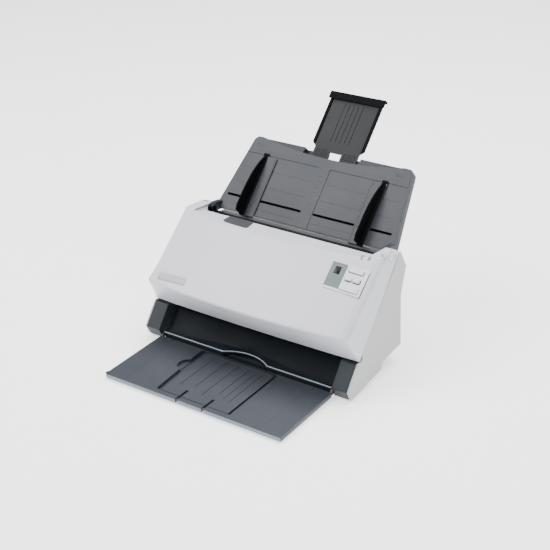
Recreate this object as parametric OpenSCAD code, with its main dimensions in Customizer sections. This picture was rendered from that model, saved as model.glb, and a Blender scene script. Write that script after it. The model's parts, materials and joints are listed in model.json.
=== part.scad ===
// Sheet fed document scanner with a folding input tray and a folding output tray.
// X runs to the right, Y to the back and Z up. The origin is under the middle of the whole object.
// Most inner parts are placed on the paper path, a slope that falls from the input tray to the exit.

/* [Body] */
// Width over the side panels
body_w = 318; // [300:1:340]
// Wall thickness of the moulded covers
wall = 2.5; // [2:0.1:3]
// Angle of the paper path above the floor
path_angle = 45; // [44:0.5:46]
// Height of the slot line of the input tray
path_z = 157.7; // [156:0.1:159]
// Distance from the front foot line back to the slot line of the input tray
path_y = 148.8; // [147:0.1:150]

/* [Front cover] */
// Slope of the front face above the floor
face_angle = 39.7; // [39:0.1:41]
// How far the front face bows out in the middle
face_bow = 8.3; // [4:0.1:10]
// How far the lower lip bows out in the middle
lip_bow = 3.5; // [2:0.1:5]
// Gap along the seam between cover and side panels
seam_gap = 0.4; // [0.3:0.1:1]

/* [Input tray] */
// Length of the tray above its slot line
tray_len = 90; // [80:1:100]
// Half width of the tray at its top
tray_top_x = 122.7; // [118:0.1:126]
// Half width of the tray at its bottom
tray_low_x = 138; // [136:0.1:138.4]
// Thickness of the whole tray
tray_t = 15; // [14.5:0.1:16]
// Distance of a paper guide from the middle
guide_x = 91; // [60:1:100]
// Height of the guide fins at their foot
fin_h = 22; // [15:1:24]
// Distance from the slot line to the top of the extension
extension_top = 179; // [150:1:185]

/* [Output tray] */
// Half width of the output tray
out_x = 134.3; // [120:0.1:134.4]
// Distance of the front edge of the output tray from the front foot line
out_len = 116.3; // [100:0.1:120]
// Height of the top of the output tray
out_z = 8; // [7:0.1:9]
// Half width of the flip-out flap
flap_x = 54.5; // [40:0.5:60]

/* [Rollers] */
// Radius of the feed roller tyre
feed_r = 13; // [11:0.5:14]
// Radius of the drive roller tyres
drive_r = 8.5; // [7:0.5:9]
// Radius of the idle pinch rollers
pinch_r = 6; // [5:0.5:7]
// How far the tyres stand above the paper path
nip = 0.5; // [0.2:0.1:0.6]

/* [Hidden] */
$fn = 48;
fine = 32;
bow_fn = 720;
half = body_w / 2;
fit = 0.05;

// outline of the side panels, as [y, z]
seam_low = [19.5, 46.6];
seam_high = [115.4, 153.6];
seam_angle = atan2(seam_high[1] - seam_low[1], seam_high[0] - seam_low[0]);
face_top = [82.5, 159.4];
crease = [-15, 88];
lip_low = [15.5, 46.6];
lip_angle = 180 - atan2(crease[1] - lip_low[1], lip_low[0] - crease[0]);
top_slope = -7.2;
band_front = [65, 155.6];
band_slope = -10.3;
ear_x = 131;
panel_outline = [
    [0, 2], [-7.1, 16.7], [15.6, 45], seam_low, seam_high, [118.3, 154.9],
    [133, 128.9], [120.6, 94.5], [121.8, 21.9], [76.7, 17.6], [72.4, 9.2]
];
rear_outline = [[127, 130.6], [133, 128.9], [120.6, 94.5], [121.8, 21.9]];

// layers across the machine, measured from the middle
guide_plate_x = 127;
frame_x = 140;
frame_t = 2;
cheek_x = 147;
panel_x = half - wall;

// axes, as [y, z]
tray_axis = [121.5, 145.5];
release_axis = [94.5, 158.5];
cover_axis = [22, 50];
out_axis = [1, 9.5];
flap_axis = [-114.2, 5.4];

// along the path from the slot line, positive up
feed_s = -78;
drive_s = -103;
sensor_s = -124;
exit_s = -148;
motor_s = -105;
flag_s = -52;
flag_h = -6;
motor_h = -36;
feed_h = nip - feed_r;
drive_h = nip - drive_r;
pinch_h = nip + 0.3 + pinch_r;
tyre_places = [-75, -25, 25, 75];
tyre_w = 14;
pulley_x = 131;
pulley_w = 7;
belt_top_h = -1.5;
feed_pulley_r = belt_top_h - feed_h;
drive_pulley_r = belt_top_h - drive_h;
motor_pulley_r = 6;

// input tray, in path coordinates
tray_axis_s = ((tray_axis[0] - path_y) + (tray_axis[1] - path_z)) * sin(45);
tray_axis_h = ((tray_axis[1] - path_z) - (tray_axis[0] - path_y)) * sin(45);
plate_t = 3;
slot_h = 3.4;
dip = 11;
dip_x = 110;
rack_s = 8.3;
pinion_r = 8;
ext_x = 40;
ext_h = -12.6;
ext_t = 3;

// output tray
out_t = 6.2;
out_back = -4.5;
recess_gap = 2.5;
flap_back = -6;
flap_t = 3;
slot_x = 20;

// control panel, measured on the front face: across, and down from its top edge
panel_mid = [121.7, 39];
panel_size = [50.5, 37];
panel_tilt = 4.6;
panel_rise = 3.3;
button_travel = 0.8;

// overall depth, used to put the origin under the middle
y_front = -out_len;
y_back = path_y + (extension_top - (ext_h - 1.5)) * sin(45);
y_centre = (y_front + y_back) / 2;

module placed() { translate([0, -y_centre, 0]) children(); }

module on_path() {
    placed() translate([0, path_y, path_z]) rotate([path_angle, 0, 0]) children();
}

// a place on the front face: across, down the face, and out of it
module on_face(x, down, out = 0) {
    placed() translate([0, face_top[0], face_top[1]]) rotate([face_angle, 0, 0])
        translate([x, -down, out]) children();
}

module on_panel(x, down, out = 0) {
    on_face(panel_mid[0], panel_mid[1], panel_rise) rotate([0, panel_tilt, 0])
        translate([x - panel_mid[0], panel_mid[1] - down, out]) children();
}

// an outline of [y, z] points, drawn out across the machine
module across(x0, x1, points) {
    translate([x0, 0, 0]) rotate([90, 0, 90]) linear_extrude(x1 - x0) polygon(points);
}

module rod(x0, x1, at, r) {
    translate([x0, at[0], at[1]]) rotate([0, 90, 0]) cylinder(h = x1 - x0, r = r);
}

// a box between two corners
module span(a, b) { translate(a) cube(b - a); }

module both() {
    children();
    mirror([1, 0, 0]) children();
}

module on_side(side) {
    if (side < 0) mirror([1, 0, 0]) children();
    else children();
}

// a plate with round corners, centred, its foot at zero
module round_plate(w, d, t, r) {
    linear_extrude(t) union() {
        square([w - 2 * r, d], center = true);
        square([w, d - 2 * r], center = true);
        for (x = [-1, 1], y = [-1, 1])
            translate([x * (w / 2 - r), y * (d / 2 - r)]) circle(r);
    }
}

function shrink(points, d) = let (n = len(points)) [
    for (i = [0 : n - 1])
        let (
            a = points[(i + n - 1) % n], b = points[i], c = points[(i + 1) % n],
            u = (b - a) / norm(b - a), v = (c - b) / norm(c - b),
            p = [-u[1], u[0]], q = [-v[1], v[0]],
            m = (p + q) / norm(p + q)
        ) b + m * d / (m * p)
];

// ---- base ----

module base_pan() {
    pan = [4, 117];
    pan_z = 3;
    rim_z = 20;
    color("dimgray") placed() difference() {
        across(-guide_plate_x, guide_plate_x,
            [[pan[0], pan_z], [pan[1], pan_z], [pan[1], rim_z], [62, rim_z], [42, 10], [pan[0], 7]]);
        across(-guide_plate_x + wall, guide_plate_x - wall,
            [[pan[0] + wall, pan_z + wall], [pan[1] - wall, pan_z + wall],
             [pan[1] - wall, rim_z + 1], [62, rim_z + 1], [42, 11], [pan[0] + wall, 8]]);
        for (x = [-60 : 12 : 60])
            span([x, 75, 0], [x + 4, 100, 7]);
    }
}

module side_panel(side) {
    relief = 5;
    flange_from = 42;
    color("gainsboro") placed() on_side(side) difference() {
        across(cheek_x, half, panel_outline);
        across(cheek_x - 1, panel_x, shrink(panel_outline, -wall));
        span([cheek_x - 1, -20, 0], [panel_x, flange_from, 75]);
        rod(cheek_x - 1, half + 1, cover_axis, relief);
    }
}

module side_panel_left() { side_panel(-1); }
module side_panel_right() { side_panel(1); }

module rear_cover() {
    inner = [[125.5, 128.2], [130, 126.6], [120.6 - wall, 94.5], [121.8 - wall, 21.9]];
    band = concat(rear_outline, [for (i = [3 : -1 : 0]) inner[i]]);
    color("gainsboro") placed() difference() {
        across(-cheek_x + 0.2, cheek_x - 0.2, band);
        for (x = [60 : 8 : 116], z = [60, 76])
            span([x, 112, z], [x + 3, 126, z + 12]);
        span([-21, 112, 29], [-7, 126, 42]);
        translate([12, 112, 35.5]) rotate([-90, 0, 0]) cylinder(h = 14, r = 5.2);
        span([34.5, 112, 28.5], [45.5, 126, 42.5]);
    }
}

module paper_guide() {
    top_s = -28;
    low_s = -160;
    rib_h = -26;
    color([0.2, 0.2, 0.22]) on_path() difference() {
        union() {
            span([-guide_plate_x, low_s, -plate_t], [guide_plate_x, top_s, 0]);
            span([-guide_plate_x, top_s - plate_t, -6], [guide_plate_x, top_s, 0]);
            for (x = [-100, -50, 50, 100])
                span([x - 1, low_s + 4, rib_h], [x + 1, sensor_s - 12, -plate_t + 0.1]);
        }
        span([-23, feed_s - 12, -40], [23, feed_s + 12, 1]);
        for (x = tyre_places, s = [drive_s, exit_s])
            span([x - tyre_w / 2 - 1, s - 8, -plate_t - 1], [x + tyre_w / 2 + 1, s + 8, 1]);
        for (x = [-101, -51, 49, 99])
            translate([x, exit_s, drive_h]) rotate([0, 90, 0]) cylinder(h = 3, r = 4.5);
        span([-112, sensor_s - 9, -plate_t - 1], [112, sensor_s + 9, 1]);
        span([57, flag_s - 7, -plate_t - 1], [63, flag_s + 5, 1]);
        for (x = [-101, -51, 49, 99])
            span([x, exit_s - 20, -30], [x + 3, exit_s - 6, -13]);
    }
}

module frame(side) {
    plate = [[42, 12], [42, 66], [84, 112], [106, 137], [115.5, 147], [124, 141], [117, 136],
             [116.5, 26], [72, 22], [68, 12]];
    color("silver") difference() {
        union() {
            placed() on_side(side) across(frame_x, frame_x + frame_t, plate);
            placed() on_side(side) rod(frame_x, frame_x + frame_t, tray_axis, 5.5);
            placed() on_side(side) rod(130, frame_x + 1, tray_axis, 3);
        }
        on_path() on_side(side) {
            rod(frame_x - 1, frame_x + 3, [feed_s, feed_h], 5);
            for (s = [drive_s, exit_s])
                rod(frame_x - 1, frame_x + 3, [s, drive_h], 5);
        }
    }
}

module frame_left() { frame(-1); }
module frame_right() { frame(1); }

module arm(side) {
    outline = [[0, 2.2], [-7, 16.7], [15.4, 44.8], [28, 44.8], [40, 46], [40, 2.2]];
    inner = [[3, 5], [-3.5, 16.7], [17, 42], [41, 42], [41, 5]];
    lug = [151, 155];
    color([0.23, 0.25, 0.29]) placed() on_side(side) difference() {
        union() {
            across(out_x + 0.5, panel_x - 0.1, outline);
            across(lug[0], lug[1], [[22.6, 47.2], [24.1, 52.1], [34, 44], [32, 40]]);
            rod(lug[0], lug[1], cover_axis, 3);
            rod(cheek_x + 0.5, lug[1], cover_axis, 1.5);
        }
        across(out_x + 3.5, panel_x - 2.6, inner);
        rod(out_x, out_x + 4, out_axis, 1.5 + fit);
    }
}

module arm_left() { arm(-1); }
module arm_right() { arm(1); }

module exit_ramp() {
    outline = [
        [0, 2.2], [0, 12.6], [12, 17], [24, 31], [31.5, 39.6], [36, 39.6], [36, 30],
        [30, 24], [18, 12], [3.4, 9], [3.4, 2.2]
    ];
    color([0.17, 0.18, 0.21]) placed() difference() {
        union() {
            across(-out_x + 3.3, out_x - 3.3, outline);
            for (x = [-96, -32, 32, 96])
                across(x, x + 2, [[20, 10.5], [30, 24], [36, 30], [36, 10.5]]);
        }
        scoop(1.3);
        span([-131.2, -2, 9.3], [131.2, 0.35, strip_z]);
    }
}

// the finger scoop in the middle of the ramp's front edge, grown by extra
scoop_r = 58;
scoop_y = 10.5;
strip_z = 12.6;

module scoop(extra = 0) {
    bevel = 0.53;
    rise = 14;
    translate([0, scoop_y - scoop_r, 0]) {
        translate([0, 0, 5]) cylinder(h = strip_z - 5, r = scoop_r + extra, $fn = 160);
        translate([0, 0, strip_z])
            cylinder(h = rise, r1 = scoop_r + extra, r2 = scoop_r + extra + bevel * rise, $fn = 160);
    }
}

module exit_strip() {
    strip_t = 1.2;
    strip_h = 3.2;
    front = -0.9;
    color("lightsteelblue") placed() translate([0, 0, strip_z - strip_h]) linear_extrude(strip_h)
        difference() {
            union() {
                translate([-131, front]) square([262, strip_t]);
                intersection() {
                    translate([0, scoop_y - scoop_r]) circle(scoop_r + strip_t, $fn = 160);
                    translate([-60, front]) square([120, 40]);
                }
            }
            translate([0, scoop_y - scoop_r]) circle(scoop_r, $fn = 160);
        }
}

module rear_sensor_unit() {
    color([0.12, 0.12, 0.13]) on_path() difference() {
        span([-110, sensor_s - 8, -17], [110, sensor_s + 8, -0.4]);
        span([-108, sensor_s - 6.5, -1.6], [108, sensor_s + 6.5, 0]);
        span([-104, sensor_s - 4, -13], [104, sensor_s + 4, -1]);
    }
}

module rear_sensor_glass() {
    color([0.75, 0.85, 0.85, 0.5]) on_path()
        span([-108, sensor_s - 6.5, -1.6], [108, sensor_s + 6.5, -0.4]);
}

module pulley(s, h, r) {
    rod(-pulley_x - pulley_w, -pulley_x, [s, h], r);
    for (x = [-pulley_x - 0.8, -pulley_x - pulley_w])
        rod(x, x + 0.8, [s, h], r + 1);
}

module roller_shaft(s, h, r, pulley_r) {
    color("silver") on_path() {
        rod(-143.5, 143.5, [s, h], r);
        difference() {
            pulley(s, h, pulley_r);
            rod(-145, -120, [s, h], r - 0.2);
        }
    }
}

module feed_roller_shaft() { roller_shaft(feed_s, feed_h, 4, feed_pulley_r); }
module drive_roller_shaft() { roller_shaft(drive_s, drive_h, 3, drive_pulley_r); }
module exit_roller_shaft() { roller_shaft(exit_s, drive_h, 3, drive_pulley_r); }

module tyre(x, w, s, h, r, bore) {
    difference() {
        rod(x - w / 2, x + w / 2, [s, h], r);
        rod(x - w, x + w, [s, h], bore);
    }
}

module feed_roller_tyre() {
    color([0.16, 0.16, 0.17]) on_path() {
        for (x = [-11, 11])
            tyre(x, 20, feed_s, feed_h, feed_r, 4);
    }
}

module drive_tyres(s) {
    color([0.16, 0.16, 0.17]) on_path() {
        for (x = tyre_places)
            tyre(x, tyre_w, s, drive_h, drive_r, 3);
    }
}

module drive_roller_tyres() { drive_tyres(drive_s); }
module exit_roller_tyres() { drive_tyres(exit_s); }

module bushing(at, r) {
    difference() {
        union() {
            rod(frame_x - 0.5, frame_x + frame_t, at, 5);
            rod(frame_x - 1.3, frame_x, at, 6.2);
        }
        rod(frame_x - 3, frame_x + 4, at, r + fit);
    }
}

module shaft_bushings() {
    color("khaki") on_path() both() {
        bushing([feed_s, feed_h], 4);
        bushing([drive_s, drive_h], 3);
        bushing([exit_s, drive_h], 3);
    }
}

// the belt runs round the four pulleys
module drive_belt() {
    belt_gap = 0.3;
    belt_t = 1;
    stops = [[feed_s, feed_h, feed_pulley_r], [drive_s, drive_h, drive_pulley_r],
             [exit_s, drive_h, drive_pulley_r], [motor_s, motor_h, motor_pulley_r]];
    module loop(extra) {
        hull() for (p = stops)
            translate([p[0], p[1]]) circle(p[2] + extra, $fn = fine);
    }
    color([0.1, 0.1, 0.1]) on_path() translate([-pulley_x - pulley_w + 1.3, 0, 0])
        rotate([90, 0, 90]) linear_extrude(pulley_w - 2.6) difference() {
            loop(belt_gap + belt_t);
            loop(belt_gap);
        }
}

module motor() {
    color([0.3, 0.3, 0.32]) on_path() {
        rod(-126, -102, [motor_s, motor_h], 17.5);
        rod(-127.4, -126, [motor_s, motor_h], 6);
        rod(-102, -100, [motor_s, motor_h], 4);
    }
}

module motor_bracket() {
    color("silver") on_path() difference() {
        union() {
            rod(-129.2, -127.7, [motor_s, motor_h], 17);
            span([-129.2, motor_s - 9, motor_h], [-127.7, motor_s + 11, -plate_t - 0.2]);
        }
        rod(-131, -126, [motor_s, motor_h], 2.6);
        rod(-131, -126, [drive_s, drive_h], 4.5);
    }
}

module motor_pulley() {
    color("goldenrod") on_path() {
        pulley(motor_s, motor_h, motor_pulley_r);
        rod(-131.5, -127.4, [motor_s, motor_h], 2.5);
    }
}

module main_board() {
    color("darkgreen") placed() {
        span([-60, 108, 24], [90, 109.6, 78]);
        for (x = [-40, 0, 45])
            span([x, 105.8, 46], [x + 18, 108, 62]);
        for (x = [-50 : 14 : 76])
            span([x, 106.4, 69], [x + 7, 108, 73]);
        for (x = [60, 74])
            translate([x, 100, 44]) rotate([-90, 0, 0]) cylinder(h = 8, r = 5);
    }
}

module usb_socket() {
    color("silver") placed() difference() {
        span([-20.5, 109.6, 29.5], [-7.5, 120.6, 41.5]);
        span([-19, 112, 31], [-9, 121, 40]);
    }
    color("ivory") placed() span([-16.5, 112, 33.5], [-11.5, 119, 37.5]);
}

module power_jack() {
    color([0.1, 0.1, 0.1]) placed() difference() {
        union() {
            span([6.5, 109.6, 30], [17.5, 118, 41]);
            translate([12, 118, 35.5]) rotate([-90, 0, 0]) cylinder(h = 2.8, r = 5);
        }
        translate([12, 111, 35.5]) rotate([-90, 0, 0]) cylinder(h = 12, r = 3.2);
    }
    color("silver") placed() translate([12, 110.5, 35.5]) rotate([-90, 0, 0])
        cylinder(h = 9, r = 1);
}

module power_switch() {
    at = [117.2, 35.5];
    color([0.1, 0.1, 0.1]) placed() difference() {
        rod(35, 45, at, 6);
        translate([34, at[0] + 6.6, at[1]]) rotate([0, 90, 0]) cylinder(h = 12, r = 3.5);
    }
}

module rubber_feet() {
    color([0.12, 0.12, 0.12]) placed() both() for (y = [14, 106])
        translate([112, y, 0]) difference() {
            cylinder(h = 4, r1 = 8, r2 = 7);
            translate([0, 0, 3]) cylinder(h = 2, r = 9);
        }
}

module case_screws() {
    head_r = 3;
    cross = [2, 0.6];
    color("gray") placed() both() for (z = [50, 80])
        difference() {
            translate([136, 121.85 - (z - 21.9) / 60.5, z]) rotate([-90, 0, 0])
                cylinder(h = 1.6, r = head_r);
            span([136 - cross[1], 122.2, z - cross[0]], [136 + cross[1], 124, z + cross[0]]);
            span([136 - cross[0], 122.2, z - cross[1]], [136 + cross[0], 124, z + cross[1]]);
        }
}

module paper_flag() {
    color([0.1, 0.1, 0.1]) on_path() {
        rod(56, 64, [flag_s, flag_h], 1.6);
        across(58.5, 61.5, [[flag_s - 1.4, flag_h], [flag_s + 1.4, flag_h], [flag_s + 1, 5], [flag_s - 0.6, 5]]);
    }
}

// ---- front cover ----

// the outer form of the cover, shrunk by t, open below the seam when t is not zero
module cover_form(t) {
    side = half - t;
    face_r = (half * half + face_bow * face_bow) / (2 * face_bow);
    lip_r = (half * half + lip_bow * lip_bow) / (2 * lip_bow);
    seam_from = t > 0 ? -20 : seam_gap;
    difference() {
        intersection() {
            span([-side, -40, 30], [side, 150, 200]);
            translate([0, face_top[0], face_top[1]]) rotate([face_angle, 0, 0])
                translate([0, -180, face_bow - face_r]) rotate([-90, 0, 0])
                    cylinder(h = 260, r = face_r - t, $fn = bow_fn);
            translate([0, crease[0], crease[1]]) rotate([lip_angle, 0, 0])
                translate([0, -100, -lip_r]) rotate([-90, 0, 0])
                    cylinder(h = 300, r = lip_r - t, $fn = bow_fn);
            translate([0, face_top[0], face_top[1] - t]) rotate([top_slope, 0, 0])
                span([-200, -160, -200], [200, 100, 0]);
            translate([0, seam_low[0], seam_low[1]]) rotate([seam_angle, 0, 0])
                span([-200, -40, seam_from], [200, 200, 200]);
        }
        translate([0, band_front[0], band_front[1] - t]) rotate([band_slope, 0, 0])
            span([-ear_x - t, -60, 0], [ear_x + t, 100, 60]);
    }
}

module cover_shell() {
    mouth_y = 106;
    boss_r = 8;
    color("whitesmoke") difference() {
        placed() union() {
            difference() {
                cover_form(0);
                intersection() {
                    cover_form(wall);
                    union() {
                        span([-cheek_x, -40, 30], [cheek_x, 150, 200]);
                        both() span([cheek_x + wall, -40, 30], [panel_x, 150, 200]);
                    }
                }
                span([-cheek_x, mouth_y, 90], [cheek_x, 150, 200]);
                both() rod(cheek_x + wall + 0.2, panel_x - 0.6, cover_axis, 3.4);
                both() rod(cheek_x - 1, cheek_x + wall + 1, cover_axis, 1.5 + fit);
            }
            rod(150.5, half, release_axis, boss_r);
        }
        on_panel(panel_mid[0], panel_mid[1], -5)
            linear_extrude(12)
                square([panel_size[0] - 3, panel_size[1] - 3], center = true);
        on_panel(panel_mid[0], panel_mid[1], -1.2)
            linear_extrude(12) square([panel_size[0] + 0.2, panel_size[1] + 0.2], center = true);
        placed() rod(half - 5, half + 1, release_axis, 5.4);
        placed() rod(cheek_x + 1.5, half + 1, release_axis, 3.1);
    }
}

module cover_chassis() {
    mouth = [[-39, 18.5], [-62, 1.4], [-160, 1.4], [-160, 4], [-64, 4], [-41, 21]];
    x = 126;
    color([0.2, 0.2, 0.22]) on_path() difference() {
        union() {
            across(-x, x, mouth);
            both() across(x - 2, x, [[-60, 4], [-154, 4], [-150, 24], [-66, 24]]);
            for (p = [-92, 92])
                for (s = [drive_s, exit_s])
                    span([p - 2, s - 5, 3.9], [p + 2, s + 5, pinch_h + 3.5]);
        }
        span([-18, feed_s - 13, -1], [18, feed_s + 12, 14]);
        for (p = tyre_places, s = [drive_s, exit_s])
            span([p - tyre_w / 2 - 1, s - 8, -1], [p + tyre_w / 2 + 1, s + 8, 5]);
        span([-112, sensor_s - 9, -1], [112, sensor_s + 9, 5]);
        for (s = [drive_s, exit_s])
            rod(-95, 95, [s, pinch_h], 2 + fit);
        for (s = [drive_s, exit_s])
            span([-90, s - 3.2, -1], [90, s + 3.2, 5]);
    }
}

module front_sensor_unit() {
    color([0.12, 0.12, 0.13]) on_path() difference() {
        span([-110, sensor_s - 8, 1.2], [110, sensor_s + 8, 18]);
        span([-108, sensor_s - 6.5, 1], [108, sensor_s + 6.5, 2.4]);
        span([-104, sensor_s - 4, 2], [104, sensor_s + 4, 14]);
    }
}

module front_sensor_glass() {
    color([0.75, 0.85, 0.85, 0.5]) on_path()
        span([-108, sensor_s - 6.5, 1.2], [108, sensor_s + 6.5, 2.4]);
}

module separation_pad() {
    color([0.35, 0.2, 0.15]) on_path() {
        span([-15, feed_s - 9, 1], [15, feed_s + 8, 3.2]);
        span([-16, feed_s - 10, 3.2], [16, feed_s + 9, 6]);
        rod(-16, 16, [feed_s + 7, 8], 2.5);
    }
}

module pinch_rollers(s) {
    color([0.75, 0.75, 0.77]) on_path() {
        rod(-94, 94, [s, pinch_h], 2);
        for (x = tyre_places)
            rod(x - tyre_w / 2 + 0.5, x + tyre_w / 2 - 0.5, [s, pinch_h], pinch_r);
    }
}

module upper_pinch_rollers() { pinch_rollers(drive_s); }
module lower_pinch_rollers() { pinch_rollers(exit_s); }

// centre across, centre down, width, height
mode_key = [130.8, 27, 20.5, 5.6];
down_key = [125, 39, 9.4, 5.6];
up_key = [136.4, 39, 9.4, 5.6];
scan_key = [130.4, 51, 25.5, 6.6];

module key_hole(k) {
    on_panel(k[0], k[1], -6) round_plate(k[2] + 0.8, k[3] + 0.8, 12, 1.6);
}

module key(k) {
    on_panel(k[0], k[1], -1.6) round_plate(k[2], k[3], 3.4, 1.2);
    on_panel(k[0], k[1], -4.6) round_plate(k[2] + 1.4, k[3] + 1.4, 1.4, 1.6);
    on_panel(k[0], k[1], -3.4) round_plate(k[2] - 3, k[3] - 1, 2, 1);
}

module panel_bezel() {
    color("white") difference() {
        on_panel(panel_mid[0], panel_mid[1], -1.2)
            round_plate(panel_size[0], panel_size[1], 1.9, 1);
        on_panel(107, 38, 0.3) round_plate(20.2, 32.4, 2, 0.8);
        on_panel(106.5, 31.7, -4) round_plate(8.2, 10.2, 8, 0.6);
        key_hole(mode_key);
        key_hole(down_key);
        key_hole(up_key);
        key_hole(scan_key);
    }
}

module panel_label() {
    color([0.55, 0.62, 0.6]) difference() {
        on_panel(107, 38, 0.3) round_plate(20, 32, 0.5, 0.8);
        on_panel(106.5, 31.7, -4) round_plate(8.2, 10.2, 8, 0.6);
    }
}

module display_window() {
    color([0.05, 0.05, 0.05]) on_panel(106.5, 31.7, -2.5) round_plate(8, 10, 3.2, 0.6);
}

module button_mode() { color("white") key(mode_key); }
module button_down() { color("white") key(down_key); }
module button_up() { color("white") key(up_key); }
module button_scan() { color("white") key(scan_key); }

module name_plate() {
    color("silver") on_face(-112.5, 102.8, 4.35) rotate([0, -3.4, 0]) round_plate(45, 9.5, 0.6, 1);
}

module guide_tab() {
    outline = [[-90, 38], [-85.5, 17], [-79, 11.5], [-49, 11.5], [-45.5, 14], [-53, 38]];
    color([0.4, 0.42, 0.45]) placed() translate([0, band_front[0], band_front[1]])
        rotate([band_slope, 0, 0]) translate([0, 0, 0.05]) linear_extrude(1.8) polygon(outline);
}

module release_button() {
    color("whitesmoke") placed() {
        rod(half - 3.2, half, release_axis, 5);
        rod(cheek_x + 4, half - 3, release_axis, 2.7);
    }
}

// ---- input tray ----

tray_outline = [
    [-129, -22], [129, -22], [tray_low_x, -16], [tray_top_x, tray_len - 5], [tray_top_x - 6, tray_len],
    [-tray_top_x + 6, tray_len], [-tray_top_x, tray_len - 5], [-tray_low_x, -16]
];

module tray_front() {
    dip_r = (dip_x * dip_x + dip * dip) / (2 * dip);
    color([0.5, 0.51, 0.54]) on_path() difference() {
        translate([0, 0, -plate_t]) linear_extrude(plate_t) polygon(tray_outline);
        translate([0, tray_len - dip + dip_r, -plate_t - 1])
            cylinder(h = plate_t + 2, r = dip_r, $fn = bow_fn);
        both() span([9.3, -slot_h / 2, -plate_t - 1], [128, slot_h / 2, 1]);
        both() span([9, 64.2, -0.8], [125, 65.6, 1]);
        span([8.6, -23, -0.8], [9.4, 65, 1]);
        span([-9.4, -23, -0.4], [-8.8, 65, 1]);
    }
}

module tray_back() {
    inner = shrink(tray_outline, 2);
    arm = [[-12, -8], [-12, 1], [-22, tray_axis_h + 4], [-31, tray_axis_h], [-24, -3], [-21, -8]];
    color([0.2, 0.21, 0.23]) on_path() {
        difference() {
            translate([0, 0, -tray_t]) linear_extrude(tray_t - plate_t) polygon(tray_outline);
            translate([0, 0, -tray_t + 2]) linear_extrude(tray_t) polygon(inner);
            span([-ext_x - 0.8, 60, ext_h - 0.4], [ext_x + 0.8, tray_len + 2, ext_h + ext_t + 0.4]);
            span([-ext_x - 0.8, tray_len - dip, ext_h - 0.4], [ext_x + 0.8, tray_len + 2, 1]);
        }
        both() difference() {
            union() {
                across(131, 138.6, arm);
                rod(131, 138.6, [tray_axis_s, tray_axis_h], 5);
            }
            rod(125, 145, [tray_axis_s, tray_axis_h], 3 + fit);
            translate([0, 0, -plate_t - 0.1]) linear_extrude(plate_t + 0.1) polygon(tray_outline);
            translate([0, 0, -tray_t]) linear_extrude(tray_t - plate_t + 0.2) polygon(tray_outline);
        }
        for (x = [-ext_x - 3, ext_x + 1.2])
            span([x, -12, -tray_t + 1.9], [x + 1.8, 74, -7]);
        translate([0, 0, -tray_t + 1]) cylinder(h = 1.4, r = 2.5);
    }
}

// one paper guide, standing on the right
module guide_form() {
    fin = [[-25, 2], [-25, fin_h - 4], [-16, fin_h], [10, fin_h - 1], [40, fin_h - 5], [58, fin_h - 11], [66, 5], [67, 2]];
    color([0.1, 0.1, 0.11]) {
        across(guide_x, guide_x + 2, fin);
        span([guide_x - 17, -25, 0.3], [guide_x + 6, 63, 2.3]);
        difference() {
            span([guide_x + 2, -25, 2.3], [guide_x + 6, 63, 6.3]);
            translate([guide_x + 6, -30, 6.3]) rotate([-90, 0, 0]) cylinder(h = 100, r = 4);
        }
        span([guide_x - 10, -slot_h / 2 + 0.3, -6.6], [guide_x - 2, slot_h / 2 - 0.3, 0.4]);
        span([guide_x - 10, -rack_s - 4.7, -6.6], [guide_x - 2, slot_h / 2 - 0.3, -3.6]);
        span([-20, -rack_s - 4.7, -6.6], [guide_x - 2, -rack_s - 0.0, -3.6]);
    }
}

module guide_right() { on_path() guide_form(); }

// the left guide has its rack on the other side of the pinion
module guide_left() {
    on_path() mirror([1, 0, 0]) {
        difference() {
            guide_form();
            span([-21, -rack_s - 5, -7], [guide_x, -slot_h / 2, -3.3]);
        }
        color([0.1, 0.1, 0.11]) {
            span([guide_x - 10, -slot_h / 2 + 0.3, -6.6], [guide_x - 2, rack_s + 4.7, -3.6]);
            span([-20, rack_s, -6.6], [guide_x - 2, rack_s + 4.7, -3.6]);
        }
    }
}

module rack_pinion() {
    color("ivory") on_path() difference() {
        translate([0, 0, -7.4]) cylinder(h = 3.9, r = pinion_r);
        translate([0, 0, -8]) cylinder(h = 6, r = 2.5 + fit);
    }
}

module extension_plate() {
    low_s = 68;
    window = [[-9, 80], [9, 91]];
    color([0.16, 0.17, 0.18]) on_path() difference() {
        union() {
            span([-ext_x + 3, low_s, ext_h], [ext_x - 3, extension_top - 6, ext_h + ext_t]);
            both() span([ext_x - 4, 97.5, ext_h], [ext_x, extension_top - 6, ext_h + ext_t]);
        }
        span([window[0][0], window[0][1], ext_h - 1], [window[1][0], window[1][1], 0]);
        for (x = [-33 : 4 : 33])
            if (abs(x) > 11) span([x, 74, ext_h + ext_t - 0.6], [x + 1.2, 94, 0]);
        for (x = [-14 : 7 : 14])
            span([x - 0.6, 104, ext_h + ext_t - 0.5], [x + 0.6, 166, 0]);
    }
}

module extension_cap() {
    color([0.1, 0.1, 0.11]) on_path()
        across(-ext_x - 3, ext_x + 3, [
            [extension_top - 6, ext_h - 1.5], [extension_top, ext_h - 1.5], [extension_top, ext_h + ext_t + 2],
            [extension_top - 3, ext_h + ext_t + 3.5], [extension_top - 6, ext_h + ext_t + 2]
        ]);
}

// ---- output tray ----

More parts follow.
